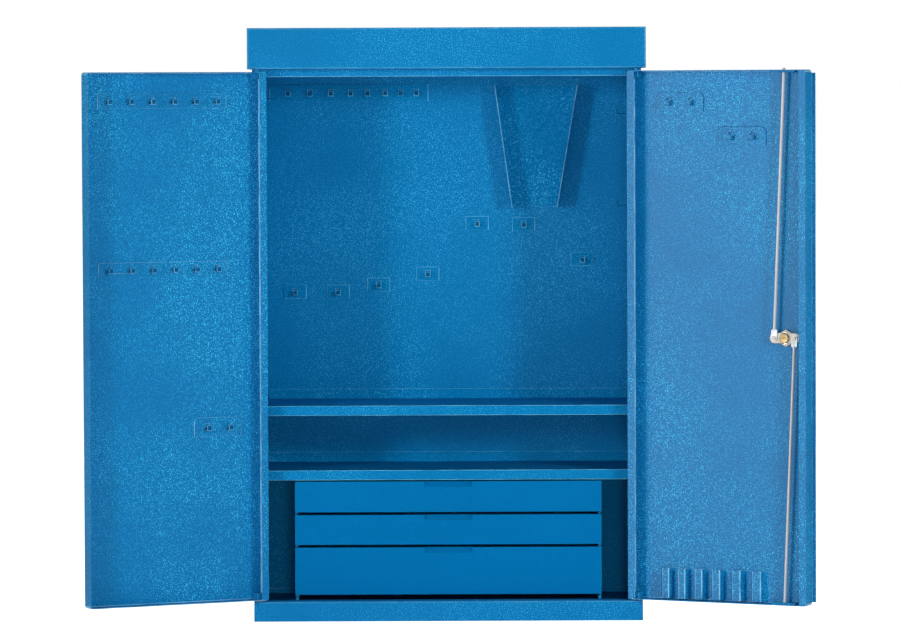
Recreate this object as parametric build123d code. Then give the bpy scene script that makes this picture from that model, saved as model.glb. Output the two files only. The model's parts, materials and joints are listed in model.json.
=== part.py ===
"""Wall tool cabinet with two doors, two shelves, three drawers and a rod lock.

Millimetres. X runs to the right, Y towards the wall, Z up. The origin is the middle of the
cabinet's footprint, on the surface that it stands on. Both doors stand open, as stored.
"""
from build123d import *
from math import atan, cos, degrees, radians
import os

# ---- overall sizes ---------------------------------------------------------------------
CABINET_HEIGHT = 970.0
CABINET_DEPTH = 250.0        # plinth front to wall side
BASE_WIDTH = 636.0           # plinth, side walls and closed doors
HOOD_OVERHANG = 7.0          # the header stands this far past the side walls
HOOD_HEIGHT = 67.0
PLINTH_HEIGHT = 33.0
FLOOR_HEIGHT = 25.0
SHEET = 1.2                  # carcass and door sheet
THIN_SHEET = 1.0             # shelves and drawers
BEND = 2.5                   # outside radius of the visible folds

# ---- doors -----------------------------------------------------------------------------
DOOR_DEPTH = 27.0
DOOR_FOOT_GAP = 2.0          # filled by the pivot washers
DOOR_HEAD_GAP = 4.5
DOOR_CENTRE_GAP = 2.0
DOOR_BACK_GAP = 3.0          # closed door to carcass front
DOOR_LIP = 12.0
DOOR_CORNER = 4.0            # rounding of the pan's corners, seen from the front
MOUTH_CORNER = 3.0           # rounding where a lip meets the end flanges
DOOR_REST_ANGLE = 152.5      # how far both doors stand open
PIVOT_INSET = 9.0            # pivot axis from the door's side edge
PIVOT_SETBACK = 11.0         # pivot axis from the door's outer face
PIVOT_RADIUS = 3.0
PIVOT_RUNNING_GAP = 0.05
PIVOT_FLANGE_GAP = 0.3
PIVOT_BLOCK = 15.0
PIVOT_BLOCK_HEIGHT = 10.0
PIVOT_WASHER_RADIUS = 7.0
PIVOT_HEAD_RADIUS = 6.0
PIVOT_HEAD = 3.0
STRIP_OVERHANG = 6.0         # overlap strip past the right door's free edge
STRIP_WIDTH = 20.0
STRIP_THICKNESS = 1.2
STRIP_GAP = 0.3
STRIP_END_INSET = 5.0

# ---- carcass ---------------------------------------------------------------------------
STILE_WIDTH = 22.0           # front return of each side wall
STILE_RETURN = 10.0
WALL_FLANGE = 15.0
BASE_SIDE_LEDGE = 16.0
BASE_BACK_LEDGE = 8.0
CEILING_DROP = 30.0          # header top to the inner top sheet
LINTEL_HEIGHT = 50.0
LINTEL_RETURN = 12.0
CEILING_FLANGE = 20.0
FIXING_HOLE_RADIUS = 4.25    # wall fixing bolts, M8
FIXING_SPACING_X = 400.0
FIXING_LOW = 200.0
FIXING_DROP = 65.0           # upper wall bolts below the header's top

# ---- shelves ---------------------------------------------------------------------------
UPPER_SHELF_TOP = 351.5
LOWER_SHELF_TOP = 245.5
SHELF_LIP = 16.0
SHELF_UPSTAND = 16.0
SHELF_HEM = 6.0
SHELF_SIDE_GAP = 1.0
SHELF_BACK_GAP = 2.0
CLIP_WIDTH = 14.0
CLIP_REACH = 9.0
CLIP_HEIGHT = 12.0
CLIP_INSET = 30.0            # clip centre from the shelf's front and back edges

# ---- drawers ---------------------------------------------------------------------------
DRAWER_WIDTH = 503.0
DRAWER_FRONT_DEPTH = 12.0
DRAWER_FRONT_SETBACK = 1.0   # behind the carcass front plane
DRAWER_FRONT_LIP = 9.0
DRAWER_BOTTOMS = (176.5, 123.0, 41.0)
DRAWER_TOPS = (227.0, 172.0, 118.5)
DRAWER_BOX_RISE = 3.3        # box bottom above the bottom of the front
DRAWER_BOX_DROP = 6.5        # box top below the top of the front
DRAWER_BOX_LENGTH = 182.0
DRAWER_SIDE_GAP = 2.5
CHEEK_OVERLAP = 4.5          # drawer fronts past the cheeks' inner faces
CHEEK_FLANGE = 12.0
CHEEK_FRONT_GAP = 2.0
CHEEK_BACK_GAP = 1.0         # cheeks to the plinth's rear ledge
CHEEK_FRONT_RETURN = 4.0
RAIL_LEG = 12.0
RAIL_GAP = 0.3
RAIL_END_INSET = 2.0
GRIP_WIDTH = 78.0
GRIP_HEIGHT = 9.0
GRIP_DEPTH = 7.0

# ---- hooks and holders -----------------------------------------------------------------
PLATE = 2.0                  # hook plate thickness
HOOK_WIDTH = 8.0
HOOK_REACH = 10.0
HOOK_TIP = 9.0
HOOK_THICKNESS = 1.5
HOOK_WINDOW = 10.0           # height of the punched window behind a tongue
HOOK_DROP = 6.0              # tongue root below the plate's middle
RAIL_HEIGHT = 28.0
DOOR_RAIL_HEIGHT = 24.0
SINGLE_PLATE_WIDTH = 38.0
SINGLE_PLATE_HEIGHT = 23.0
DOUBLE_PLATE_WIDTH = 85.0
DOUBLE_PLATE_HEIGHT = 31.0
DOUBLE_PLATE_CORNER = 6.0
DOUBLE_HOOK_PITCH = 39.0
BACK_RAIL_LEFT = -297.0
BACK_RAIL_RIGHT = -31.0
BACK_RAIL_DROP = 106.0       # this and the next drops are below the header's top
BACK_RAIL_HOOKS = (-266.0, -229.0, -194.0, -161.0, -133.0, -103.0, -77.0, -51.0)
SINGLE_HOOKS = ((-255.5, 439.0), (-183.5, 439.0), (-115.5, 427.5),
                (-33.0, 409.5), (226.0, 386.0))   # place across, and drop
HOOKS_UNDER_HOLDER = ((50.0, 27.0), (128.0, 29.0))   # place across, and drop below its foot
DOOR_RAIL_START = 61.0       # from the hinge side edge
DOOR_RAIL_LENGTH = 229.0
DOOR_RAIL_PITCH = 38.4
DOOR_RAIL_HOOKS = 6
DOOR_RAIL_HIGH_DROP = 46.5   # below the door's top, as are the plates on the doors
DOOR_RAIL_LOW_DROP = 319.0
LEFT_PLATE_PLACE = (79.0, 577.5)
RIGHT_PLATE_HIGH = (84.0, 51.0)
RIGHT_PLATE_LOW = (195.0, 107.0)
HOLDER_DROP = 94.0
HOLDER_LENGTH = 204.0
HOLDER_CENTRE = 149.0
HOLDER_TOP_WIDTH = 137.0
HOLDER_BOTTOM_LEFT = 109.0
HOLDER_BOTTOM_RIGHT = 183.0
HOLDER_DEPTH = 35.0
SIDE_HOOKS = ((-1, 109.5), (1, 136.5), (1, 287.0))   # which wall, and drop
SIDE_HOOK_FRONT = -62.0
SIDE_HOOK_REACH = 36.0
SIDE_HOOK_PLATE = 24.0
POCKET_CENTRES = (62.5, 91.5, 121.5, 153.0, 189.0, 225.0)
POCKET_FACES = (9.7, 10.0, 10.6, 11.4, 12.2, 13.0)
POCKET_DEPTH = 15.0
POCKET_SLOPE = 3.5           # sideways run of each pocket wall
POCKET_HEIGHT = 49.5
POCKET_END_FLAT = 8.0
POCKET_LIFT = 0.3            # strip clear of the fold at the door's foot

# ---- rod lock --------------------------------------------------------------------------
LOCK_INSET = 43.5            # lock axis from the right door's free edge
LOCK_BELOW_MIDDLE = 0.75     # lock axis below the middle of the door's height
BARREL_RADIUS = 9.5
BARREL_FIT = 0.05
BARREL_LENGTH = 9.0          # past the door's outer face, inwards
ROSE_RADIUS = 18.0
ROSE_THICKNESS = 4.0
NUT_ACROSS_FLATS = 25.0
NUT_THICKNESS = 6.0
SPINDLE_RADIUS = 6.0
SPINDLE_RUNNING_GAP = 0.1
SPINDLE_SQUARE = 7.0
CAM_ARM = 18.0
CAM_HEIGHT = 17.0
CAM_THICKNESS = 2.2
CAM_LIFT = 0.3               # cam clear of the barrel's end
CAM_SCREW_RADIUS = 8.0
CAM_SCREW_HEAD = 4.0
ROD_RADIUS = 2.5
ROD_EYE_RADIUS = 5.0
ROD_TONGUE = 2.0
ROD_TONGUE_LENGTH = 15.0
ROD_LIFT = 0.2               # rod tongue clear of the cam
ROD_UPPER_PROUD = 3.0        # rod ends past the door when the lock is open
ROD_LOWER_PROUD = 1.0
RIVET_RADIUS = 2.0
RIVET_HEAD_RADIUS = 3.5
RIVET_HEAD = 1.5
RIVET_RUNNING_GAP = 0.06
GUIDE_LENGTH = 43.0
GUIDE_WIDTH = 14.0
GUIDE_THICKNESS = 3.0
GUIDE_SWING = 4.0            # sideways swing of a rod in its guide
GUIDE_GAP = 0.5
STRIKE_RADIUS = 4.5
HANDLE_RADIUS = 15.0
HANDLE_BOSS = 12.0
HANDLE_LENGTH = 74.0
HANDLE_GRIP_WIDTH = 15.0
HANDLE_GRIP_DEPTH = 16.0
HANDLE_LIFT = 0.4            # handle clear of the rose
KEY_PLUG_RADIUS = 5.5
KEY_PLUG_LENGTH = 18.0
KEY_PLUG_GAP = 0.1
KEY_SLOT = (1.4, 7.0, 9.0)   # width, height and depth of the key slot

# ---- worked out ------------------------------------------------------------------------
HALF_BASE = BASE_WIDTH / 2
HALF_HOOD = HALF_BASE + HOOD_OVERHANG
FRONT = -CABINET_DEPTH / 2
BACK = CABINET_DEPTH / 2
DOOR_INNER = FRONT + DOOR_DEPTH
CARCASS_FRONT = DOOR_INNER + DOOR_BACK_GAP
PANEL_FACE = BACK - SHEET
HOOD_BOTTOM = CABINET_HEIGHT - HOOD_HEIGHT
WALL_TOP = CABINET_HEIGHT - SHEET
CEILING_HEIGHT = CABINET_HEIGHT - CEILING_DROP
LINTEL_BOTTOM = CEILING_HEIGHT - LINTEL_HEIGHT
FIXING_HIGH = CABINET_HEIGHT - FIXING_DROP
HOLDER_TOP = CABINET_HEIGHT - HOLDER_DROP
HOLDER_BOTTOM = HOLDER_TOP - HOLDER_LENGTH
DOOR_BOTTOM = PLINTH_HEIGHT + DOOR_FOOT_GAP
DOOR_TOP = HOOD_BOTTOM - DOOR_HEAD_GAP
DOOR_WIDTH = HALF_BASE - DOOR_CENTRE_GAP / 2
LOCK_HEIGHT = (DOOR_BOTTOM + DOOR_TOP) / 2 - LOCK_BELOW_MIDDLE
DOOR_SKIN = FRONT + SHEET
PIVOT_X = HALF_BASE - PIVOT_INSET
PIVOT_Y = FRONT + PIVOT_SETBACK
WALL_INSIDE = HALF_BASE - SHEET
STILE_EDGE = HALF_BASE - STILE_WIDTH
LOCK_X = -DOOR_CENTRE_GAP / 2 - LOCK_INSET
CAM_Y = FRONT + BARREL_LENGTH + CAM_LIFT
TONGUE_Y = CAM_Y + CAM_THICKNESS + ROD_LIFT
ROD_Y = TONGUE_Y + ROD_TONGUE / 2
ROD_TILT_UP = degrees(atan(CAM_ARM / (DOOR_TOP - LOCK_HEIGHT)))
ROD_TILT_DOWN = degrees(atan(CAM_ARM / (LOCK_HEIGHT - DOOR_BOTTOM)))
DRAWER_FACE = CARCASS_FRONT + DRAWER_FRONT_SETBACK
DRAWER_REAR = DRAWER_FACE + DRAWER_FRONT_DEPTH
CHEEK_INSIDE = DRAWER_WIDTH / 2 - CHEEK_OVERLAP
CHEEK_FRONT = DRAWER_REAR + CHEEK_FRONT_GAP
CHEEK_REAR = BACK - BASE_BACK_LEDGE - CHEEK_BACK_GAP
SHELF_BACK = PANEL_FACE - SHELF_BACK_GAP
SHELF_FRONT = CARCASS_FRONT + THIN_SHEET
SHELF_NOTCH = CARCASS_FRONT + SHEET + STILE_RETURN + SHELF_BACK_GAP
LEFT_PIVOT = Axis((-PIVOT_X, PIVOT_Y, 0), (0, 0, 1))
RIGHT_PIVOT = Axis((PIVOT_X, PIVOT_Y, 0), (0, 0, 1))


# ---- small helpers ---------------------------------------------------------------------
def block(x0, x1, y0, y1, z0, z1):
    """A box between two corners."""
    middle = Pos((x0 + x1) / 2, (y0 + y1) / 2, (z0 + z1) / 2)
    return middle * Box(x1 - x0, y1 - y0, z1 - z0)


def pillar(x, y, z0, z1, radius):
    """An upright round bar."""
    return Pos(x, y, (z0 + z1) / 2) * Cylinder(radius, z1 - z0)


def across(x, z, y0, y1, radius):
    """A round bar along Y."""
    return Pos(x, (y0 + y1) / 2, z) * Rot(90, 0, 0) * Cylinder(radius, y1 - y0)


def pick(shape, axis, lowest=True):
    """The face that lies furthest along an axis, one way or the other."""
    faces = shape.faces().sort_by(axis)
    return faces[0] if lowest else faces[-1]


def save(name, *solids):
    """Write one node, as one solid or as a group of separate solids."""
    shape = solids[0] if len(solids) == 1 else Compound(children=list(solids))
    export_step(shape, f"parts/{name}.step")


def on_left_door(part):
    """Swing a piece of the closed left door to its open place."""
    return part.rotate(LEFT_PIVOT, -DOOR_REST_ANGLE)


def on_right_door(part):
    """Mirror a piece to the right door, then swing it to its open place."""
    return part.mirror(Plane.YZ).rotate(RIGHT_PIVOT, DOOR_REST_ANGLE)


def mirrored(part):
    return part.mirror(Plane.YZ)


# ---- carcass ---------------------------------------------------------------------------
def base_tray():
    """Flat bottom with upturned sides and in-turned ledges: the plinth."""
    outer = block(-HALF_BASE, HALF_BASE, FRONT, BACK, 0, PLINTH_HEIGHT)
    outer = fillet(pick(outer, Axis.Y).edges().filter_by(Axis.X).sort_by(Axis.Z)[-1], BEND)
    inside = block(-WALL_INSIDE, WALL_INSIDE, DOOR_SKIN, PANEL_FACE, SHEET, PLINTH_HEIGHT - SHEET)
    side = HALF_BASE - BASE_SIDE_LEDGE
    well = block(-side, side, CARCASS_FRONT, BACK - BASE_BACK_LEDGE, SHEET, PLINTH_HEIGHT)
    tray = outer - inside - well
    for x in (-PIVOT_X, PIVOT_X):
        tray -= pillar(x, PIVOT_Y, SHEET * 2, PLINTH_HEIGHT + 1, PIVOT_RADIUS)
    return tray - pillar(-LOCK_X, ROD_Y, SHEET * 2, PLINTH_HEIGHT + 1, STRIKE_RADIUS)


def floor_panel():
    """Sunk floor whose upturned rim meets the ledges from below."""
    side = HALF_BASE - BASE_SIDE_LEDGE
    rear = BACK - BASE_BACK_LEDGE
    under_ledge = PLINTH_HEIGHT - SHEET
    outer = block(-side - SHEET, side + SHEET, CARCASS_FRONT - SHEET, rear + SHEET,
                  FLOOR_HEIGHT - SHEET, under_ledge)
    return outer - block(-side, side, CARCASS_FRONT, rear, FLOOR_HEIGHT, under_ledge)


def side_wall_left():
    """Side sheet with a front stile, a rear flange and a foot flange."""
    x = -HALF_BASE
    inside = -WALL_INSIDE
    sheet = block(x, inside, CARCASS_FRONT, PANEL_FACE, PLINTH_HEIGHT, WALL_TOP)
    stile = block(x, -STILE_EDGE, CARCASS_FRONT, CARCASS_FRONT + SHEET, PLINTH_HEIGHT, WALL_TOP)
    lip = block(-STILE_EDGE - SHEET, -STILE_EDGE, CARCASS_FRONT,
                CARCASS_FRONT + SHEET + STILE_RETURN, PLINTH_HEIGHT, WALL_TOP)
    rear = block(x, inside + WALL_FLANGE, PANEL_FACE - SHEET, PANEL_FACE, PLINTH_HEIGHT, WALL_TOP)
    foot = block(x, inside + WALL_FLANGE - SHEET, SHELF_NOTCH, PANEL_FACE,
                 PLINTH_HEIGHT, PLINTH_HEIGHT + SHEET)
    return sheet + stile + lip + rear + foot


def fixing_places():
    half = FIXING_SPACING_X / 2
    return [(x, z) for x in (-half, half) for z in (FIXING_LOW, FIXING_HIGH)]


def back_panel():
    """Flat rear sheet with four holes for the wall bolts."""
    panel = block(-HALF_BASE, HALF_BASE, PANEL_FACE, BACK, PLINTH_HEIGHT, WALL_TOP)
    for x, z in fixing_places():
        panel -= across(x, z, PANEL_FACE - 1, BACK + 1, FIXING_HOLE_RADIUS)
    return panel


def ceiling_panel():
    """Inner top sheet, with flanges turned up along the side walls."""
    rear = PANEL_FACE - SHEET
    front = CARCASS_FRONT + SHEET + STILE_RETURN
    outer = block(-WALL_INSIDE, WALL_INSIDE, front, rear, CEILING_HEIGHT,
                  CEILING_HEIGHT + CEILING_FLANGE)
    panel = outer - block(-WALL_INSIDE + SHEET, WALL_INSIDE - SHEET, front - 1, rear + 1,
                          CEILING_HEIGHT + SHEET, CEILING_HEIGHT + CEILING_FLANGE + 1)
    tongue = block(-STILE_EDGE, STILE_EDGE, CARCASS_FRONT + SHEET, front,
                   CEILING_HEIGHT, CEILING_HEIGHT + SHEET)
    return panel + tongue


def front_lintel():
    """Channel across the top of the opening, between the stiles."""
    face = block(-STILE_EDGE, STILE_EDGE, CARCASS_FRONT, CARCASS_FRONT + SHEET,
                 LINTEL_BOTTOM, CEILING_HEIGHT)
    sill = block(-STILE_EDGE, STILE_EDGE, CARCASS_FRONT, CARCASS_FRONT + LINTEL_RETURN,
                 LINTEL_BOTTOM, LINTEL_BOTTOM + SHEET)
    head = block(-STILE_EDGE, STILE_EDGE, CARCASS_FRONT, CARCASS_FRONT + LINTEL_RETURN,
                 CEILING_HEIGHT - SHEET, CEILING_HEIGHT)
    return face + sill + head


def header_hood():
    """Cap over the walls: fascia, sides, top and an in-turned ledge all round below."""
    outer = block(-HALF_HOOD, HALF_HOOD, FRONT, BACK, HOOD_BOTTOM, CABINET_HEIGHT)
    outer = fillet(pick(outer, Axis.Y).edges(), BEND)
    inside = block(-HALF_HOOD + SHEET, HALF_HOOD - SHEET, DOOR_SKIN, BACK + 1,
                   HOOD_BOTTOM + SHEET, WALL_TOP)
    inside = fillet(pick(inside, Axis.Y).edges(), BEND - SHEET)
    mouth = block(-HALF_BASE, HALF_BASE, CARCASS_FRONT, BACK + 1, HOOD_BOTTOM - 1, HOOD_BOTTOM + SHEET)
    hood = outer - inside - mouth
    for x in (-PIVOT_X, PIVOT_X):
        hood -= pillar(x, PIVOT_Y, HOOD_BOTTOM - 1, HOOD_BOTTOM + 2 * SHEET, PIVOT_RADIUS)
    return hood - pillar(-LOCK_X, ROD_Y, HOOD_BOTTOM - 1, HOOD_BOTTOM + 2 * SHEET, STRIKE_RADIUS)


# ---- shelves ---------------------------------------------------------------------------
def shelf(top):
    """Sheet shelf, notched round the stiles, with a front lip and a rear upstand."""
    side = WALL_INSIDE - SHELF_SIDE_GAP
    front_side = STILE_EDGE - SHELF_SIDE_GAP
    under = top - THIN_SHEET
    plate = block(-side, side, SHELF_NOTCH, SHELF_BACK, under, top)
    plate += block(-front_side, front_side, SHELF_FRONT, SHELF_NOTCH, under, top)
    lip = block(-front_side, front_side, SHELF_FRONT, SHELF_FRONT + THIN_SHEET, top - SHELF_LIP, top)
    hem = block(-front_side, front_side, SHELF_FRONT, SHELF_FRONT + SHELF_HEM,
                top - SHELF_LIP, top - SHELF_LIP + THIN_SHEET)
    upstand = block(-side + WALL_FLANGE, side - WALL_FLANGE, SHELF_BACK - THIN_SHEET, SHELF_BACK,
                    under, top + SHELF_UPSTAND)
    return plate + lip + hem + upstand


def shelf_clips(top):
    """Four angle clips on the side walls, under the shelf's corners."""
    under = top - THIN_SHEET
    clips = []
    for y in (SHELF_NOTCH + CLIP_INSET, SHELF_BACK - CLIP_INSET):
        leg = block(-WALL_INSIDE, -WALL_INSIDE + SHEET, y - CLIP_WIDTH / 2, y + CLIP_WIDTH / 2,
                    under - CLIP_HEIGHT, under)
        seat = block(-WALL_INSIDE, -WALL_INSIDE + CLIP_REACH, y - CLIP_WIDTH / 2,
                     y + CLIP_WIDTH / 2, under - SHEET, under)
        clips += [leg + seat, mirrored(leg + seat)]
    return clips


# ---- drawer housing and drawers --------------------------------------------------------
def drawer_cheek_left():
    """Upright side of the drawer housing, flanged to the floor and to the lower shelf."""
    top = LOWER_SHELF_TOP - THIN_SHEET
    inner = -CHEEK_INSIDE
    flange = inner - CHEEK_FLANGE
    plate = block(inner - SHEET, inner, CHEEK_FRONT, CHEEK_REAR, FLOOR_HEIGHT, top)
    head = block(flange, inner, CHEEK_FRONT, CHEEK_REAR, top - SHEET, top)
    foot = block(flange, inner, CHEEK_FRONT, CHEEK_REAR, FLOOR_HEIGHT, FLOOR_HEIGHT + SHEET)
    edge = block(inner - CHEEK_FRONT_RETURN, inner, CHEEK_FRONT, CHEEK_FRONT + SHEET,
                 FLOOR_HEIGHT, top)
    return plate + head + foot + edge


def drawer_rails_left():
    """One angle rail on the cheek under each drawer."""
    inner = -CHEEK_INSIDE
    rails = []
    for bottom in DRAWER_BOTTOMS:
        top = bottom + DRAWER_BOX_RISE - RAIL_GAP
        y0 = CHEEK_FRONT + RAIL_END_INSET
        y1 = CHEEK_REAR - RAIL_END_INSET
        leg = block(inner, inner + SHEET, y0, y1, top - RAIL_LEG, top)
        ledge = block(inner, inner + RAIL_LEG, y0, y1, top - SHEET, top)
        rails.append(leg + ledge)
    return rails


def grip_wedge(top, grow):
    """The scooped finger grip, cut into the middle of a drawer front's top edge."""
    half = GRIP_WIDTH / 2 + grow
    y0 = DRAWER_FACE - 1
    low = top - GRIP_HEIGHT - grow
    deep = DRAWER_FACE + GRIP_DEPTH + grow
    outline = Plane.YZ * Polyline((y0, low), (DRAWER_FACE, low), (deep, top), (deep, top + 1),
                                  (y0, top + 1), close=True)
    wedge = extrude(make_face(outline), amount=half, both=True)
    return wedge


def drawer_front(bottom, top):
    """Folded hollow front with a finger grip and turned-in rear lips."""
    half = DRAWER_WIDTH / 2
    outer = block(-half, half, DRAWER_FACE, DRAWER_REAR, bottom, top)
    outer = fillet(pick(outer, Axis.Y).edges(), THIN_SHEET)
    outer -= grip_wedge(top, 0)
    hollow = block(-half + THIN_SHEET, half - THIN_SHEET, DRAWER_FACE + THIN_SHEET,
                   DRAWER_REAR - THIN_SHEET, bottom + THIN_SHEET, top - THIN_SHEET)
    hollow -= grip_wedge(top, THIN_SHEET)
    mouth = block(-half + DRAWER_FRONT_LIP, half - DRAWER_FRONT_LIP, DRAWER_REAR - 2 * THIN_SHEET,
                  DRAWER_REAR + 1, bottom + DRAWER_FRONT_LIP, top - DRAWER_FRONT_LIP - GRIP_HEIGHT / 2)
    return outer - hollow - mouth


def drawer_box(bottom, top):
    """Open sheet tray fixed to the back of the front."""
    half = CHEEK_INSIDE - DRAWER_SIDE_GAP
    y1 = DRAWER_REAR + DRAWER_BOX_LENGTH
    z0 = bottom + DRAWER_BOX_RISE
    z1 = top - DRAWER_BOX_DROP
    tray = block(-half, half, DRAWER_REAR, y1, z0, z1)
    room = block(-half + THIN_SHEET, half - THIN_SHEET, DRAWER_REAR + THIN_SHEET, y1 - THIN_SHEET,
                 z0 + THIN_SHEET, z1 + 1)
    return tray - room


# ---- doors, built closed on the left ---------------------------------------------------
def door_pan(free_lip):
    """Folded pan: skin, four flanges, a hinge-side lip and, if asked, a free-side lip."""
    x0 = -HALF_BASE
    x1 = x0 + DOOR_WIDTH
    outer = block(x0, x1, FRONT, DOOR_INNER, DOOR_BOTTOM, DOOR_TOP)
    outer = fillet(outer.edges().filter_by(Axis.Y), DOOR_CORNER)
    outer = fillet(pick(outer, Axis.Y).edges(), BEND)
    hollow = block(x0 + SHEET, x1 - SHEET, DOOR_SKIN, DOOR_INNER - SHEET,
                   DOOR_BOTTOM + SHEET, DOOR_TOP - SHEET)
    hollow = fillet(hollow.edges().filter_by(Axis.Y), DOOR_CORNER - SHEET)
    hollow = fillet(pick(hollow, Axis.Y).edges(), BEND - SHEET)
    free_side = x1 - (DOOR_LIP if free_lip else SHEET)
    mouth = block(x0 + DOOR_LIP, free_side, DOOR_INNER - 2 * SHEET, DOOR_INNER + 1,
                  DOOR_BOTTOM + SHEET, DOOR_TOP - SHEET)
    mouth = fillet(mouth.edges().filter_by(Axis.Y), MOUTH_CORNER)
    pan = outer - hollow - mouth
    for z in (DOOR_BOTTOM, DOOR_TOP):
        pan -= pillar(-PIVOT_X, PIVOT_Y, z - 2 * SHEET, z + 2 * SHEET,
                      PIVOT_RADIUS + PIVOT_FLANGE_GAP)
    return pan


def guide_slot(z0, z1, swing, gap):
    """Room for a rod through a flange, longer on the side that the rod swings to."""
    reach = ROD_RADIUS + gap
    x0, x1 = sorted((LOCK_X, LOCK_X + swing))
    slot = block(x0, x1, ROD_Y - reach, ROD_Y + reach, z0, z1)
    return slot + pillar(x0, ROD_Y, z0, z1, reach) + pillar(x1, ROD_Y, z0, z1, reach)


def right_door_pan():
    """The pan with its lock hole and rod slots."""
    pan = door_pan(True)
    pan -= across(LOCK_X, LOCK_HEIGHT, FRONT - 1, DOOR_SKIN + 1, BARREL_RADIUS)
    pan -= guide_slot(DOOR_TOP - 2 * SHEET, DOOR_TOP + 1, -GUIDE_SWING, 2 * GUIDE_GAP)
    return pan - guide_slot(DOOR_BOTTOM - 1, DOOR_BOTTOM + 2 * SHEET, GUIDE_SWING, 2 * GUIDE_GAP)


def pivot_blocks():
    """Drilled blocks inside the door's hinge corners that turn on the pivot pins."""
    x0 = -HALF_BASE + SHEET
    y0 = PIVOT_Y - PIVOT_BLOCK / 2
    blocks = []
    for z0, corner in ((DOOR_BOTTOM + SHEET, 0), (DOOR_TOP - SHEET - PIVOT_BLOCK_HEIGHT, 1)):
        body = block(x0, x0 + PIVOT_BLOCK, y0, y0 + PIVOT_BLOCK, z0, z0 + PIVOT_BLOCK_HEIGHT)
        side = body.edges().filter_by(Axis.Y).sort_by(Axis.X)[:2].sort_by(Axis.Z)
        body = fillet(side[corner], DOOR_CORNER)
        body -= pillar(-PIVOT_X, PIVOT_Y, z0 - 1, z0 + PIVOT_BLOCK_HEIGHT + 1,
                       PIVOT_RADIUS + PIVOT_RUNNING_GAP)
        blocks.append(body)
    return blocks


def bottom_pivot_pin():
    """Headed pin through the plinth ledge, up into the door's lower block."""
    ledge = PLINTH_HEIGHT - SHEET
    head = pillar(-PIVOT_X, PIVOT_Y, ledge - PIVOT_HEAD, ledge, PIVOT_HEAD_RADIUS)
    top = DOOR_BOTTOM + SHEET + PIVOT_BLOCK_HEIGHT
    return head + pillar(-PIVOT_X, PIVOT_Y, ledge, top, PIVOT_RADIUS)


def top_pivot_pin():
    """Headed pin through the header ledge, down into the door's upper block."""
    ledge = HOOD_BOTTOM + SHEET
    head = pillar(-PIVOT_X, PIVOT_Y, ledge, ledge + PIVOT_HEAD, PIVOT_HEAD_RADIUS)
    low = DOOR_TOP - SHEET - PIVOT_BLOCK_HEIGHT
    return head + pillar(-PIVOT_X, PIVOT_Y, low, ledge, PIVOT_RADIUS)


def pivot_washer():
    """Plastic washer that carries the door on the plinth ledge."""
    ring = pillar(-PIVOT_X, PIVOT_Y, PLINTH_HEIGHT, DOOR_BOTTOM, PIVOT_WASHER_RADIUS)
    return ring - pillar(-PIVOT_X, PIVOT_Y, PLINTH_HEIGHT - 1, DOOR_BOTTOM + 1,
                         PIVOT_RADIUS + PIVOT_RUNNING_GAP)


def overlap_strip():
    """Flat bar on the right door's face that covers the gap between the doors."""
    edge = -HALF_BASE + DOOR_WIDTH
    z0 = DOOR_BOTTOM + STRIP_END_INSET
    z1 = DOOR_TOP - STRIP_END_INSET
    bar = block(edge + STRIP_OVERHANG - STRIP_WIDTH, edge + STRIP_OVERHANG,
                FRONT - STRIP_THICKNESS, FRONT, z0, z1)
    relief = block(edge, edge + STRIP_OVERHANG + 1, FRONT - STRIP_GAP, FRONT + 1, z0 - 1, z1 + 1)
    return bar - relief


# ---- hooks and holders -----------------------------------------------------------------
def tongue(reach, tip, width):
    """A bent tongue that leaves a plate at the origin towards -Y and turns up."""
    outline = Plane.YZ * make_face(Polyline(
        (0, 0), (-reach, 0), (-reach, tip), (-reach + HOOK_THICKNESS, tip),
        (-reach + HOOK_THICKNESS, HOOK_THICKNESS), (0, HOOK_THICKNESS), close=True))
    body = extrude(outline, amount=width / 2, both=True)
    corners = body.edges().filter_by(Axis.X)
    outside = corners.sort_by_distance((0, -reach, 0))[0]
    body = fillet(outside, HOOK_THICKNESS)
    ends = body.edges().filter_by(Axis.Y).sort_by(Axis.Z)[-2:]
    return fillet(ends, width / 3)


def hook_plate(width, height, hooks, corner=0.0):
    """A plate against the wall plane Y = 0, its hooks standing out towards -Y."""
    plate = block(-width / 2, width / 2, -PLATE, 0, -height / 2, height / 2)
    if corner:
        tops = plate.edges().filter_by(Axis.Y).sort_by(Axis.Z)[-2:]
        plate = chamfer(tops, corner)
    for x in hooks:
        window = block(x - HOOK_WIDTH / 2, x + HOOK_WIDTH / 2, -PLATE - 1, 1,
                       -HOOK_DROP + HOOK_THICKNESS, -HOOK_DROP + HOOK_THICKNESS + HOOK_WINDOW)
        plate -= window
        plate += Pos(x, -PLATE, -HOOK_DROP) * tongue(HOOK_REACH, HOOK_TIP, HOOK_WIDTH)
    return plate


def back_hook_rail():
    middle = (BACK_RAIL_LEFT + BACK_RAIL_RIGHT) / 2
    hooks = [x - middle for x in BACK_RAIL_HOOKS]
    rail = hook_plate(BACK_RAIL_RIGHT - BACK_RAIL_LEFT, RAIL_HEIGHT, hooks)
    return Pos(middle, PANEL_FACE, CABINET_HEIGHT - BACK_RAIL_DROP) * rail


def back_hook_plates():
    plate = hook_plate(SINGLE_PLATE_WIDTH, SINGLE_PLATE_HEIGHT, [0])
    heights = [(x, CABINET_HEIGHT - drop) for x, drop in SINGLE_HOOKS]
    heights += [(x, HOLDER_BOTTOM - drop) for x, drop in HOOKS_UNDER_HOLDER]
    return [Pos(x, PANEL_FACE, z) * plate for x, z in heights]


def on_door_skin(plate, along, drop):
    """Set a plate on the inside of the closed left door, from its hinge side and its top."""
    return Pos(-HALF_BASE + along, DOOR_SKIN, DOOR_TOP - drop) * Rot(0, 0, 180) * plate


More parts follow.
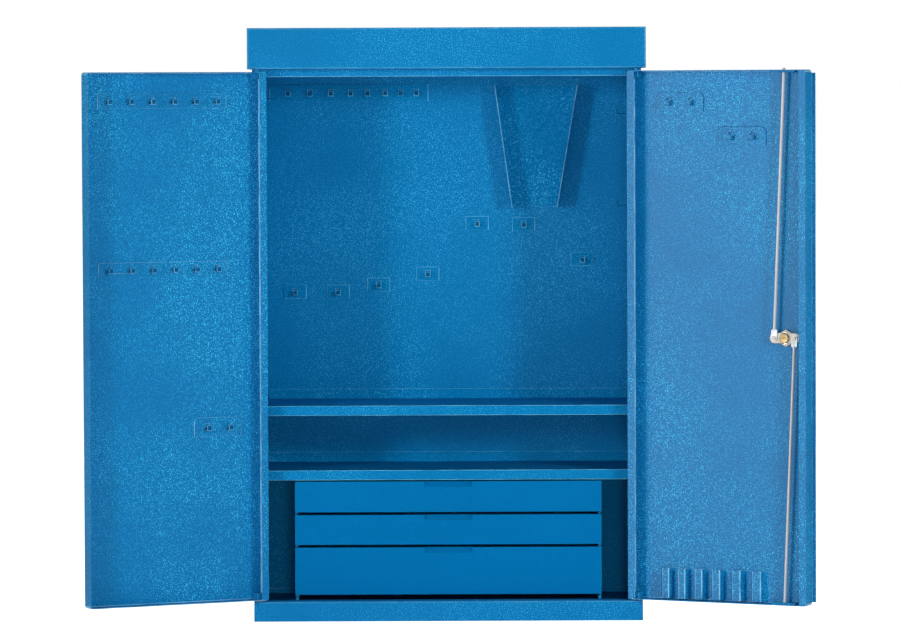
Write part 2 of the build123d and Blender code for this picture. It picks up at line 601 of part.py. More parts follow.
def door_hook_rail(drop):
    first = -DOOR_RAIL_PITCH * (DOOR_RAIL_HOOKS - 1) / 2
    hooks = [first + DOOR_RAIL_PITCH * i for i in range(DOOR_RAIL_HOOKS)]
    rail = hook_plate(DOOR_RAIL_LENGTH, DOOR_RAIL_HEIGHT, hooks)
    return on_door_skin(rail, DOOR_RAIL_START + DOOR_RAIL_LENGTH / 2, drop)


def double_hook_plate(along, drop):
    hooks = (-DOUBLE_HOOK_PITCH / 2, DOUBLE_HOOK_PITCH / 2)
    plate = hook_plate(DOUBLE_PLATE_WIDTH, DOUBLE_PLATE_HEIGHT, hooks, DOUBLE_PLATE_CORNER)
    return on_door_skin(plate, along, drop)


def side_hooks():
    """Long hooks on the side walls, near the front."""
    hooks = []
    for side, drop in SIDE_HOOKS:
        z = CABINET_HEIGHT - drop
        plate = block(WALL_INSIDE - PLATE, WALL_INSIDE, SIDE_HOOK_FRONT - SIDE_HOOK_PLATE / 2,
                      SIDE_HOOK_FRONT + SIDE_HOOK_PLATE / 2, z - SIDE_HOOK_PLATE / 2,
                      z + SIDE_HOOK_PLATE / 2)
        arm = Rot(0, 0, -90) * tongue(SIDE_HOOK_REACH, HOOK_TIP, HOOK_WIDTH)
        hook = plate + Pos(WALL_INSIDE - PLATE, SIDE_HOOK_FRONT, z - HOOK_DROP) * arm
        hooks.append(hook if side > 0 else mirrored(hook))
    return hooks


def tapered_holder():
    """V-shaped holder on the back: a plate with two fins folded forwards, open in front."""
    def prism(grow, y0, y1, rise):
        left_top = HOLDER_CENTRE - HOLDER_TOP_WIDTH / 2
        right_top = HOLDER_CENTRE + HOLDER_TOP_WIDTH / 2
        lean = (HOLDER_BOTTOM_LEFT - left_top) / HOLDER_LENGTH
        outline = Polyline((left_top - grow - lean * rise, HOLDER_TOP + rise),
                           (right_top + grow + lean * rise, HOLDER_TOP + rise),
                           (HOLDER_BOTTOM_RIGHT + grow - lean * rise, HOLDER_BOTTOM - rise),
                           (HOLDER_BOTTOM_LEFT - grow + lean * rise, HOLDER_BOTTOM - rise),
                           close=True)
        return extrude(Plane.XZ.offset(-y1) * make_face(outline), amount=y1 - y0)
    front = PANEL_FACE - HOLDER_DEPTH
    shell = prism(SHEET, front, PANEL_FACE, 0)
    return shell - prism(0, front - 1, PANEL_FACE - SHEET, 1)


def pocket_strip():
    """Corrugated strip standing on the door's bottom flange: six pockets for hand tools."""
    skin = 0.0
    outline = []
    first = POCKET_CENTRES[0] - POCKET_FACES[0] / 2 - POCKET_SLOPE - POCKET_END_FLAT
    last = POCKET_CENTRES[-1] + POCKET_FACES[-1] / 2 + POCKET_SLOPE + POCKET_END_FLAT
    outer = [(first, THIN_SHEET)]
    inner = [(first, skin)]
    for centre, face in zip(POCKET_CENTRES, POCKET_FACES):
        foot = face / 2 + POCKET_SLOPE
        outer += [(centre - foot - THIN_SHEET, THIN_SHEET), (centre - face / 2 - THIN_SHEET, POCKET_DEPTH),
                  (centre + face / 2 + THIN_SHEET, POCKET_DEPTH), (centre + foot + THIN_SHEET, THIN_SHEET)]
        inner += [(centre - foot, skin), (centre - face / 2, POCKET_DEPTH - THIN_SHEET),
                  (centre + face / 2, POCKET_DEPTH - THIN_SHEET), (centre + foot, skin)]
    outline = outer + [(last, THIN_SHEET), (last, skin)] + inner[:0:-1] + [(first, skin)]
    face = make_face(Polyline(*outline, close=True))
    foot = Plane((-HALF_BASE, DOOR_SKIN, DOOR_BOTTOM + BEND + POCKET_LIFT))
    return extrude(foot * face, amount=POCKET_HEIGHT)


# ---- rod lock, built closed on the left ------------------------------------------------
def lock_barrel():
    """Threaded body through the door skin, with a round rose outside."""
    rose = across(LOCK_X, LOCK_HEIGHT, FRONT - ROSE_THICKNESS, FRONT, ROSE_RADIUS)
    rose = chamfer(pick(rose, Axis.Y).edges(), ROSE_THICKNESS / 4)
    body = across(LOCK_X, LOCK_HEIGHT, FRONT, FRONT + BARREL_LENGTH, BARREL_RADIUS - BARREL_FIT)
    bore = across(LOCK_X, LOCK_HEIGHT, FRONT - ROSE_THICKNESS - 1, FRONT + BARREL_LENGTH + 1,
                  SPINDLE_RADIUS + SPINDLE_RUNNING_GAP)
    return rose + body - bore


def lock_nut():
    """Hexagon nut that clamps the barrel to the door, one corner up."""
    outline = RegularPolygon(NUT_ACROSS_FLATS / 2, 6, major_radius=False, rotation=30)
    nut = extrude(Plane.XZ.offset(-DOOR_SKIN) * outline, amount=-NUT_THICKNESS)
    nut = Pos(LOCK_X, 0, LOCK_HEIGHT) * nut
    return nut - across(LOCK_X, LOCK_HEIGHT, DOOR_SKIN - 1, DOOR_SKIN + NUT_THICKNESS + 1,
                        BARREL_RADIUS)


def turn_handle():
    """Outside wing handle with its spindle, squared where it drives the cam."""
    face = FRONT - ROSE_THICKNESS - HANDLE_LIFT
    boss = across(LOCK_X, LOCK_HEIGHT, face - HANDLE_BOSS, face, HANDLE_RADIUS)
    grip_front = face - HANDLE_BOSS - HANDLE_GRIP_DEPTH / 2
    grip = block(LOCK_X - HANDLE_LENGTH / 2, LOCK_X + HANDLE_LENGTH / 2, grip_front,
                 grip_front + HANDLE_GRIP_DEPTH, LOCK_HEIGHT - HANDLE_GRIP_WIDTH / 2,
                 LOCK_HEIGHT + HANDLE_GRIP_WIDTH / 2)
    grip = fillet(grip.edges().filter_by(Axis.Y), HANDLE_GRIP_WIDTH / 2 - 1)
    grip = fillet(pick(grip, Axis.Y).edges(), HANDLE_GRIP_WIDTH / 6)
    spindle = across(LOCK_X, LOCK_HEIGHT, face, CAM_Y, SPINDLE_RADIUS)
    half = SPINDLE_SQUARE / 2
    square = block(LOCK_X - half, LOCK_X + half, CAM_Y, CAM_Y + CAM_THICKNESS,
                   LOCK_HEIGHT - half, LOCK_HEIGHT + half)
    handle = boss + grip + spindle + square
    plug_hole = across(LOCK_X, LOCK_HEIGHT, grip_front - 1, grip_front + KEY_PLUG_LENGTH,
                       KEY_PLUG_RADIUS + KEY_PLUG_GAP)
    return handle - plug_hole


def key_plug():
    """Cylinder core in the handle, with the slot for the key."""
    front = FRONT - ROSE_THICKNESS - HANDLE_LIFT - HANDLE_BOSS - HANDLE_GRIP_DEPTH / 2
    plug = across(LOCK_X, LOCK_HEIGHT, front, front + KEY_PLUG_LENGTH - RAIL_GAP, KEY_PLUG_RADIUS)
    width, height, depth = KEY_SLOT
    return plug - block(LOCK_X - width / 2, LOCK_X + width / 2, front - 1, front + depth,
                        LOCK_HEIGHT - height / 2, LOCK_HEIGHT + height / 2)


def latch_cam():
    """Cross plate on the spindle that drives both rods."""
    half = CAM_HEIGHT / 2
    plate = block(LOCK_X - CAM_ARM, LOCK_X + CAM_ARM, CAM_Y, CAM_Y + CAM_THICKNESS,
                  LOCK_HEIGHT - half, LOCK_HEIGHT + half)
    for side in (-1, 1):
        plate += across(LOCK_X + side * CAM_ARM, LOCK_HEIGHT, CAM_Y, CAM_Y + CAM_THICKNESS, half)
    for side in (-1, 1):
        plate -= across(LOCK_X + side * CAM_ARM, LOCK_HEIGHT, CAM_Y - 1, TONGUE_Y, RIVET_RADIUS)
    half = SPINDLE_SQUARE / 2
    return plate - block(LOCK_X - half, LOCK_X + half, CAM_Y - 1, TONGUE_Y,
                         LOCK_HEIGHT - half, LOCK_HEIGHT + half)


def cam_screw():
    """Round slotted head that holds the cam on the spindle."""
    y0 = CAM_Y + CAM_THICKNESS
    head = across(LOCK_X, LOCK_HEIGHT, y0, y0 + CAM_SCREW_HEAD, CAM_SCREW_RADIUS)
    head = chamfer(pick(head, Axis.Y, lowest=False).edges(), 0.8)
    slot = block(LOCK_X - CAM_SCREW_RADIUS, LOCK_X + CAM_SCREW_RADIUS,
                 y0 + CAM_SCREW_HEAD * 0.6, y0 + CAM_SCREW_HEAD + 1,
                 LOCK_HEIGHT - 1, LOCK_HEIGHT + 1)
    return head - slot


def rod_rivets():
    """One shouldered rivet at each end of the cam, the axle of a rod's eye."""
    rivets = []
    for side in (-1, 1):
        x = LOCK_X + side * CAM_ARM
        top = TONGUE_Y + ROD_TONGUE + ROD_LIFT
        shank = across(x, LOCK_HEIGHT, CAM_Y - CAM_LIFT / 2, top, RIVET_RADIUS)
        head = across(x, LOCK_HEIGHT, top, top + RIVET_HEAD, RIVET_HEAD_RADIUS)
        rivets.append(shank + head)
    return rivets


def lock_rod(side, end, tilt):
    """Flattened eye on the cam's end, then a round rod through the guide."""
    x = LOCK_X + side * CAM_ARM
    way = 1 if end > LOCK_HEIGHT else -1
    length = abs(end - LOCK_HEIGHT) / cos(radians(tilt))
    eye = across(0, 0, TONGUE_Y, TONGUE_Y + ROD_TONGUE, ROD_EYE_RADIUS)
    flat = block(-ROD_EYE_RADIUS, ROD_EYE_RADIUS, TONGUE_Y, TONGUE_Y + ROD_TONGUE,
                 0, ROD_TONGUE_LENGTH)
    flat = chamfer(flat.edges().filter_by(Axis.Y).sort_by(Axis.Z)[-2:], ROD_RADIUS)
    bar = pillar(0, ROD_Y, ROD_TONGUE_LENGTH - ROD_RADIUS, length, ROD_RADIUS)
    hole = across(0, 0, TONGUE_Y - 1, TONGUE_Y + ROD_TONGUE + 1, RIVET_RADIUS + RIVET_RUNNING_GAP)
    rod = eye + flat + bar - hole
    if way < 0:
        rod = Rot(0, 180, 0) * rod
        rod = Pos(0, 2 * ROD_Y, 0) * Rot(0, 0, 180) * rod
    turn = -side * way * tilt
    return Pos(x, 0, LOCK_HEIGHT) * Rot(0, turn, 0) * rod


def rod_guides():
    """Slotted plates on the door's flanges that steady the rods."""
    guides = []
    for z0, swing in ((DOOR_TOP - SHEET - GUIDE_THICKNESS, -GUIDE_SWING),
                      (DOOR_BOTTOM + SHEET, GUIDE_SWING)):
        plate = block(LOCK_X - GUIDE_LENGTH / 2, LOCK_X + GUIDE_LENGTH / 2, ROD_Y - GUIDE_WIDTH / 2,
                      ROD_Y + GUIDE_WIDTH / 2, z0, z0 + GUIDE_THICKNESS)
        guides.append(plate - guide_slot(z0 - 1, z0 + GUIDE_THICKNESS + 1, swing, GUIDE_GAP))
    return guides


# ---- write every node ------------------------------------------------------------------
os.makedirs("parts", exist_ok=True)

wall = side_wall_left()
cheek = drawer_cheek_left()
rails = drawer_rails_left()
save("base_tray", base_tray())
save("floor_panel", floor_panel())
save("side_wall_left", wall)
save("side_wall_right", mirrored(wall))
save("back_panel", back_panel())
save("ceiling_panel", ceiling_panel())
save("front_lintel", front_lintel())
save("header_hood", header_hood())
save("upper_shelf", shelf(UPPER_SHELF_TOP))
save("lower_shelf", shelf(LOWER_SHELF_TOP))
save("upper_shelf_clips", *shelf_clips(UPPER_SHELF_TOP))
save("lower_shelf_clips", *shelf_clips(LOWER_SHELF_TOP))
save("drawer_cheek_left", cheek)
save("drawer_cheek_right", mirrored(cheek))
save("drawer_rails_left", *rails)
save("drawer_rails_right", *[mirrored(rail) for rail in rails])
for place, low, high in zip(("top", "middle", "bottom"), DRAWER_BOTTOMS, DRAWER_TOPS):
    save(f"drawer_{place}_front", drawer_front(low, high))
    save(f"drawer_{place}_box", drawer_box(low, high))
save("pivot_pins_bottom", bottom_pivot_pin(), mirrored(bottom_pivot_pin()))
save("pivot_pins_top", top_pivot_pin(), mirrored(top_pivot_pin()))
save("pivot_washers", pivot_washer(), mirrored(pivot_washer()))
save("back_hook_rail", back_hook_rail())
save("back_hook_plates", *back_hook_plates())
save("side_hooks", *side_hooks())
save("tapered_holder", tapered_holder())

save("door_left_panel", on_left_door(door_pan(False)))
save("door_left_pivot_blocks", *[on_left_door(part) for part in pivot_blocks()])
save("left_hook_rail_upper", on_left_door(door_hook_rail(DOOR_RAIL_HIGH_DROP)))
save("left_hook_rail_lower", on_left_door(door_hook_rail(DOOR_RAIL_LOW_DROP)))
save("left_hook_plate", on_left_door(double_hook_plate(*LEFT_PLATE_PLACE)))

save("door_right_panel", on_right_door(right_door_pan()))
save("door_right_pivot_blocks", *[on_right_door(part) for part in pivot_blocks()])
save("door_overlap_strip", on_right_door(overlap_strip()))
save("right_hook_plate_upper", on_right_door(double_hook_plate(*RIGHT_PLATE_HIGH)))
save("right_hook_plate_lower", on_right_door(double_hook_plate(*RIGHT_PLATE_LOW)))
save("pocket_strip", on_right_door(pocket_strip()))
save("rod_guides", *[on_right_door(part) for part in rod_guides()])
save("lock_barrel", on_right_door(lock_barrel()))
save("lock_nut", on_right_door(lock_nut()))
save("turn_handle", on_right_door(turn_handle()))
save("key_plug", on_right_door(key_plug()))
save("latch_cam", on_right_door(latch_cam()))
save("cam_screw", on_right_door(cam_screw()))
save("rod_rivets", *[on_right_door(part) for part in rod_rivets()])
upper_end = DOOR_TOP + ROD_UPPER_PROUD
lower_end = DOOR_BOTTOM - ROD_LOWER_PROUD
save("rod_upper", on_right_door(lock_rod(-1, upper_end, ROD_TILT_UP)))
save("rod_lower", on_right_door(lock_rod(1, lower_end, ROD_TILT_DOWN)))
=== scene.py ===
import json
import math

import bmesh
import bpy
from mathutils import Matrix, Vector


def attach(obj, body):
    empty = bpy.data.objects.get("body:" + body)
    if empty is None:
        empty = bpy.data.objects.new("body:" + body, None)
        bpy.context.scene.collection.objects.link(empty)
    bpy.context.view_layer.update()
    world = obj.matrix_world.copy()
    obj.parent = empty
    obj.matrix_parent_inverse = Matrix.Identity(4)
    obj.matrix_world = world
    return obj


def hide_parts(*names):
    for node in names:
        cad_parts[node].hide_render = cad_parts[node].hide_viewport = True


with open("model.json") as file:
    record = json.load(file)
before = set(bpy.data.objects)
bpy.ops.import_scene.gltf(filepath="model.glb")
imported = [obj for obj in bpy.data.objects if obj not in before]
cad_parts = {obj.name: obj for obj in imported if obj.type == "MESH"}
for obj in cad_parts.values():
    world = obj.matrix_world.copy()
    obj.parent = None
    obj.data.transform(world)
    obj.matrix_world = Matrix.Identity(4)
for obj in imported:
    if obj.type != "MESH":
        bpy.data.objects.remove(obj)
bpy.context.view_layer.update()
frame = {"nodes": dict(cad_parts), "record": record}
bpy.ops.object.select_all(action="DESELECT")

# ---- plinth and floor ------------------------------------------------------------------
# The plinth is a folded tray of mild steel sheet with a sunk floor welded into it. Like all
# of the body it is sprayed with a blue powder coat that cures to a fine hammered grain.
nodes = frame["nodes"]
record = frame["record"]
body_of = {node: body for body, held in record["behaviour"]["bodies"].items() for node in held}


def open_group(name, colours, values):
    """A new shader group with colour and number inputs, and the three outputs of a finish."""
    group = bpy.data.node_groups.new(name, "ShaderNodeTree")
    sockets = group.interface
    for key in colours:
        sockets.new_socket(key, in_out="INPUT", socket_type="NodeSocketColor")
    for key, value in values.items():
        socket = sockets.new_socket(key, in_out="INPUT", socket_type="NodeSocketFloat")
        socket.default_value = value
    for key, kind in (("Color", "Color"), ("Roughness", "Float"), ("Normal", "Vector")):
        sockets.new_socket(key, in_out="OUTPUT", socket_type=f"NodeSocket{kind}")
    given, result = group.nodes.new("NodeGroupInput"), group.nodes.new("NodeGroupOutput")
    return group, given.outputs, result.inputs


def feed(group, value, socket):
    """Give a socket a plain number, or link what another node puts out."""
    if isinstance(value, float):
        socket.default_value = value
    else:
        group.links.new(value, socket)


def noise(group, scale, detail):
    """Random clouds that stay fixed to the piece."""
    texture = group.nodes.new("ShaderNodeTexNoise")
    place = group.nodes.new("ShaderNodeTexCoord")
    group.links.new(place.outputs["Object"], texture.inputs["Vector"])
    feed(group, scale, texture.inputs["Scale"])
    feed(group, detail, texture.inputs["Detail"])
    return texture.outputs["Fac"]


def spread(group, value, low, high, to_low=0.0, to_high=1.0):
    """Stretch what lies between two limits over another range."""
    node = group.nodes.new("ShaderNodeMapRange")
    for key, given in (("Value", value), ("From Min", low), ("From Max", high),
                       ("To Min", to_low), ("To Max", to_high)):
        feed(group, given, node.inputs[key])
    return node.outputs["Result"]


def work_out(group, operation, *values):
    """A product, sum or larger value of numbers and sockets."""
    node = group.nodes.new("ShaderNodeMath")
    node.operation = operation
    for value, socket in zip(values, node.inputs):
        feed(group, value, socket)
    return node.outputs["Value"]


def blend_colour(group, amount, first, second):
    """Go from one colour to another by an amount."""
    node = group.nodes.new("ShaderNodeMix")
    node.data_type = "RGBA"
    for key, value in (("Factor", amount), ("A", first), ("B", second)):
        feed(group, value, node.inputs[key])
    return node.outputs["Result"]


def edge_wear_and_light(group):
    """How much of the edge colour, for wear and painted light, a face takes, as marked on the
    piece.
    """
    mark = group.nodes.new("ShaderNodeAttribute")
    mark.attribute_name = "edge"
    return mark.outputs["Fac"]


def relief(group, height, strength, depth):
    """The bump of a grain or a scratch."""
    bump = group.nodes.new("ShaderNodeBump")
    for key, value in (("Height", height), ("Strength", strength), ("Distance", depth)):
        feed(group, value, bump.inputs[key])
    return bump.outputs["Normal"]


def powder_coat_group():
    """Grain, painted glints, soft clouding, and a second edge colour for wear, painted highlight
    and painted shade, of a sprayed powder coat.
    """
    group, given, result = open_group(
        "powder_coat", ("Paint", "Painted Glint", "Edge Wear And Painted Light"),
        {"Grain": 430.0, "Painted Glint Amount": 0.5, "Gloss": 0.45, "Relief": 0.5, "Cloud": 0.06,
         "Edge Wear And Painted Light Amount": 0.6, "Mottle": 0.15})
    grain = noise(group, given["Grain"], detail=0.0)
    cloud = noise(group, scale=5.0, detail=4.0)
    patch = noise(group, scale=38.0, detail=3.0)

    tone = 1.0
    for value, amount in ((cloud, "Cloud"), (grain, "Mottle")):
        swing = spread(group, value, low=0.3, high=0.7, to_low=-1.0)
        tone = work_out(group, "MULTIPLY_ADD", swing, given[amount], tone)
    paint = group.nodes.new("ShaderNodeVectorMath")
    paint.operation = "SCALE"
    feed(group, given["Paint"], paint.inputs[0])
    feed(group, tone, paint.inputs["Scale"])

    # Painted glints: light specks painted on the grain's crests, in patches, for the hammered coat
    # catching the lamps.
    crests = spread(group, grain, low=0.63, high=0.71)
    glint_patches = spread(group, cloud, low=0.38, high=0.6, to_low=0.2)
    glint = work_out(group, "MULTIPLY", crests, glint_patches)
    glint = work_out(group, "MULTIPLY", glint, given["Painted Glint Amount"])
    colour = blend_colour(group, glint, paint.outputs["Vector"], given["Painted Glint"])

    # The edge colour: a lighter one is wear with a painted highlight, a darker one is painted
    # shade.
    uneven = spread(group, patch, low=0.35, high=0.6, to_low=0.35)
    wear_and_light = work_out(group, "MULTIPLY", edge_wear_and_light(group), uneven)
    wear_and_light = work_out(group, "MULTIPLY", wear_and_light, given["Edge Wear And Painted Light Amount"])
    feed(group, blend_colour(group, wear_and_light, colour, given["Edge Wear And Painted Light"]), result["Color"])

    clouded_gloss = 0.12
    dull = work_out(group, "MULTIPLY_ADD", cloud, clouded_gloss, given["Gloss"])
    feed(group, dull, result["Roughness"])
    feed(group, relief(group, grain, given["Relief"], depth=0.0005), result["Normal"])
    return group


powder_coat = powder_coat_group()


def coated(name, group, colours, values, metallic=0.0, specular=0.5):
    """A material whose colour, roughness and relief come from a shared group."""
    material = bpy.data.materials.new(name)
    material.use_nodes = True
    tree = material.node_tree
    shader = tree.nodes["Principled BSDF"]
    surface = tree.nodes.new("ShaderNodeGroup")
    surface.node_tree = group
    for key, colour in colours.items():
        surface.inputs[key].default_value = (*colour, 1)
    for key, value in values.items():
        surface.inputs[key].default_value = value
    for key, target in (("Color", "Base Color"), ("Roughness", "Roughness"), ("Normal", "Normal")):
        tree.links.new(surface.outputs[key], shader.inputs[target])
    shader.inputs["Metallic"].default_value = metallic
    shader.inputs["Specular IOR Level"].default_value = specular
    return material


fine_glint = (0.07, 0.54, 0.88)
fine_grain = {"Painted Glint Amount": 0.85, "Grain": 640.0, "Mottle": 0.08}
body_blue = coated(
    "body_blue", powder_coat,
    {"Paint": (0.0, 0.192, 0.460), "Painted Glint": fine_glint, "Edge Wear And Painted Light": (0.20, 0.62, 0.88)},
    fine_grain, specular=0.12)

same_point = 0.000002            # points nearer to each other than this are one
same_plane = math.radians(0.4)   # faces that differ by less than this are one
corner_turn = math.radians(35)   # an edge that turns by more is rounded
shaded_turn = math.radians(32)   # an edge that turns by less is shaded smooth
sheet_edge = 0.0025              # a narrower face is the cut edge of a sheet
lip_width, lip_area = 0.014, 0.005   # a larger but narrow face is a folded lip
fold_facets, cut_facets = 3, 2


def width_beside(start, way, points):
    """How far the farthest of some points lies from a line."""
    return max(((point - start) - (point - start).dot(way) * way).length for point in points)


def reach_across(face, edge):
    """How wide a face is beside one of its edges, also where the face runs round a corner."""
    start = edge.verts[0].co
    way = (edge.verts[1].co - start).normalized()
    reach = width_beside(start, way, [vertex.co for vertex in face.verts])
    bent_strip = 3 * face.calc_area() / face.calc_perimeter()  # half as much again as its width
    return min(reach, bent_strip)


def longest_side(points):
    """The two ends of a face's longest side."""
    sides = zip(points, points[1:] + points[:1])
    return max(sides, key=lambda side: (side[1] - side[0]).length)


def edge_wear_and_light_mark(piece, polygon, rim, lip, crest):
    """How much edge colour a face takes, for wear and painted highlight: upright rounded edges
    most, sheet edges and narrow lips less.
    """
    upright = 1.0 - (1.0 - crest) * abs(polygon.normal.z)
    if polygon.material_index:
        return upright
    points = [piece.data.vertices[i].co for i in polygon.vertices]
    start, end = longest_side(points)
    width = width_beside(start, (end - start).normalized(), points)
    if width < sheet_edge:
        return rim * upright
    return lip if width < lip_width and polygon.area > lip_area else 0.0


def take_up(piece):
    """Make one piece the only selected and the active one."""
    bpy.ops.object.select_all(action="DESELECT")
    piece.select_set(True)
    bpy.context.view_layer.objects.active = piece


def round_edges(piece, chosen, width, facets):
    """Round the edges that a test picks, and give the new faces the second material."""
    bpy.ops.object.mode_set(mode="EDIT")
    bpy.ops.mesh.select_mode(type="EDGE")
    bpy.ops.mesh.select_all(action="DESELECT")
    mesh = bmesh.from_edit_mesh(piece.data)
    found = [edge for edge in mesh.edges if len(edge.link_faces) == 2 and chosen(edge)]
    for edge in found:
        edge.select = True
    bmesh.update_edit_mesh(piece.data)
    if found:
        bpy.ops.mesh.bevel(offset=width, segments=facets, affect="EDGES", clamp_overlap=True,
                           material=1)
    bpy.ops.object.mode_set(mode="OBJECT")


def dressed(node, material, fold=0.0016, cut=0.00035, rim=0.5, lip=0.0, crest=0.3):
    """A copy of a CAD node with rounded folds and broken cut edges, in its real finish.

    fold and cut are the two widths, and rim, lip and crest say how much wear and painted highlight
    the sheet's edges, its narrow lips and the edges that lie level take. The two materials only
    tell new faces apart.
    """
    piece = bpy.data.objects.new(f"{node}_finish", nodes[node].data.copy())
    bpy.context.scene.collection.objects.link(piece)
    piece.data.materials.clear()
    piece.data.materials.append(material)
    piece.data.materials.append(material)
    take_up(piece)
    bpy.ops.object.mode_set(mode="EDIT")
    bpy.ops.mesh.select_all(action="SELECT")
    bpy.ops.mesh.remove_doubles(threshold=same_point)
    bpy.ops.mesh.dissolve_limited(angle_limit=same_plane)
    bpy.ops.object.mode_set(mode="OBJECT")

    def sharp(edge):
        return edge.calc_face_angle_signed(0) > corner_turn

    def folded(edge):
        if not sharp(edge):
            return False
        return min(reach_across(face, edge) for face in edge.link_faces) > sheet_edge

    if fold:
        round_edges(piece, folded, fold, fold_facets)
    if cut:
        round_edges(piece, sharp, cut, cut_facets)
    marks = [edge_wear_and_light_mark(piece, polygon, rim, lip, crest) for polygon in piece.data.polygons]
    piece.data.attributes.new("edge", "FLOAT", "FACE").data.foreach_set("value", marks)
    for polygon in piece.data.polygons:
        polygon.material_index = 0
    piece.data.materials.pop(index=1)
    bpy.ops.object.shade_smooth_by_angle(angle=shaded_turn)
    bpy.ops.object.modifier_add(type="WEIGHTED_NORMAL")
    piece.modifiers[-1].keep_sharp = True
    bpy.ops.object.modifier_apply(modifier=piece.modifiers[-1].name)
    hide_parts(node)
    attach(piece, body_of[node])
    return piece


dressed("base_tray", body_blue)
dressed("floor_panel", body_blue)

# ---- walls and back --------------------------------------------------------------------
# Each side wall is one sheet, folded into a stile at the front and a flange at the back. The
# back is a flat sheet, spot-welded to both, with four holes for the wall bolts.
dressed("side_wall_left", body_blue)
dressed("side_wall_right", body_blue)
dressed("back_panel", body_blue, fold=0, cut=0.0003, rim=0)

# ---- inner top and lintel --------------------------------------------------------------
# The inner top sheet lies between the walls, and the lintel is a channel across the opening.
# Both are folded sheet in the same coat.
dressed("ceiling_panel", body_blue)
dressed("front_lintel", body_blue)

# ---- header hood -----------------------------------------------------------------------
# The hood is a deep folded cap over the tops of the walls. It overhangs the sides a little,
# and its plain fascia hides the top pivots.
dressed("header_hood", body_blue)

# ---- shelves ---------------------------------------------------------------------------
# Two sheet shelves with a hemmed front lip and a rear upstand lie on small angle clips that
# are welded to the walls. Their coat is the body's, with wear and a painted highlight along the
# lips.
# Plates, shelf lips and the holder get a light edge colour at full strength: wear and a painted
# highlight along their edges.
hook_blue = coated(
    "hook_blue", powder_coat,
    {"Paint": (0.0, 0.196, 0.465), "Painted Glint": fine_glint, "Edge Wear And Painted Light": (0.26, 0.78, 0.96)},
    {**fine_grain, "Edge Wear And Painted Light Amount": 1.0}, specular=0.06)
for level in ("upper", "lower"):
    dressed(f"{level}_shelf", hook_blue, fold=0.0011, cut=0.00042, rim=1.0, crest=1.0)
    dressed(f"{level}_shelf_clips", body_blue, fold=0.001)

# ---- drawer housing --------------------------------------------------------------------
# Two flanged cheeks of folded sheet stand between the floor and the lower shelf. Angle rails
# welded to them carry the drawers.
for side in ("left", "right"):
    dressed(f"drawer_cheek_{side}", body_blue, fold=0.001)
    dressed(f"drawer_rails_{side}", body_blue, fold=0.001)

# ---- drawers ---------------------------------------------------------------------------
# Three sheet drawers with hollow folded fronts. These are coated in a smooth satin blue with
# no grain, and each front has a finger grip pressed into the middle of its top edge.
drawer_blue = coated(
    "drawer_blue", powder_coat,
    {"Paint": (0.0, 0.162, 0.415), "Painted Glint": (0.0, 0.20, 0.48), "Edge Wear And Painted Light": (0.01, 0.30, 0.58)},
    {"Painted Glint Amount": 0.12, "Relief": 0.05, "Cloud": 0.03, "Mottle": 0.03, "Edge Wear And Painted Light Amount": 0.5},
    specular=0.03)
for level in ("top", "middle", "bottom"):
    dressed(f"drawer_{level}_front", drawer_blue, fold=0.0011)
    dressed(f"drawer_{level}_box", drawer_blue, fold=0.0008)


# ---- pivots ----------------------------------------------------------------------------
# Headed steel pins in the plinth and header ledges carry the doors, which turn on them by
# drilled blocks. The pins are sprayed with the body, and a nylon washer sits under each door.
def plated_group():
    """Clouds, dull patches, edges darkened as painted shade, and fine brushing of a plated or
    turned surface.
    """
    group, given, result = open_group(
        "plated_metal", ("Metal", "Tarnish"),
        {"Tarnish Amount": 0.5, "Gloss": 0.25, "Relief": 0.15, "Fineness": 300.0})
    stain = noise(group, scale=90.0, detail=5.0)
    scratch = noise(group, given["Fineness"], detail=3.0)
    dull = spread(group, stain, low=0.42, high=0.68)
    dull = work_out(group, "MULTIPLY", dull, given["Tarnish Amount"])
    # Tarnish in patches, and painted shade on the marked edges.
    tarnish_and_edge_shade = work_out(group, "MAXIMUM", dull, edge_wear_and_light(group))
    feed(group, blend_colour(group, tarnish_and_edge_shade, given["Metal"], given["Tarnish"]), result["Color"])
    stained_gloss = 0.25
    rough = work_out(group, "MULTIPLY_ADD", stain, stained_gloss, given["Gloss"])
    feed(group, rough, result["Roughness"])
    feed(group, relief(group, scratch, given["Relief"], depth=0.0002), result["Normal"])
    return group


plated_metal = plated_group()
nylon = coated("nylon", plated_metal, {"Metal": (0.74, 0.73, 0.68), "Tarnish": (0.62, 0.60, 0.54)},
               {"Gloss": 0.35, "Relief": 0.05}, specular=0.4)
dressed("pivot_pins_bottom", body_blue, fold=0.0004)
dressed("pivot_pins_top", body_blue, fold=0.0004)
dressed("pivot_washers", nylon, fold=0, cut=0.0003)

# ---- hooks on the back and sides -------------------------------------------------------
# Rails and single plates of thick steel sheet, spot-welded on before coating. Each hook is a
# tongue punched out of its plate and bent forwards, then up. The tongues and the openings behind
# them get a darker coat as painted shade, standing in for the shadows the hooks cast.
hook_painted_shade = coated(
    "hook_painted_shade", powder_coat,
    {"Paint": (0.0, 0.095, 0.240), "Painted Glint": (0.04, 0.30, 0.52), "Edge Wear And Painted Light": (0.0, 0.070, 0.185)},
    {"Painted Glint Amount": 0.3, "Grain": 640.0, "Mottle": 0.1}, specular=0.04)
tongue_size = 0.011   # every face of a tongue or its opening is shorter than this
least_wear_and_light = 0.1      # a face with more edge wear and painted highlight is an edge


def paint_shade_on_tongues(piece):
    """Put the painted shade on the bent tongues and in the openings behind them, but not on edges.
    """
    piece.data.materials.append(hook_painted_shade)
    wear_and_light = piece.data.attributes["edge"].data
    for polygon in piece.data.polygons:
        start, end = longest_side([piece.data.vertices[i].co for i in polygon.vertices])
        if (end - start).length < tongue_size and wear_and_light[polygon.index].value < least_wear_and_light:
            polygon.material_index = 1


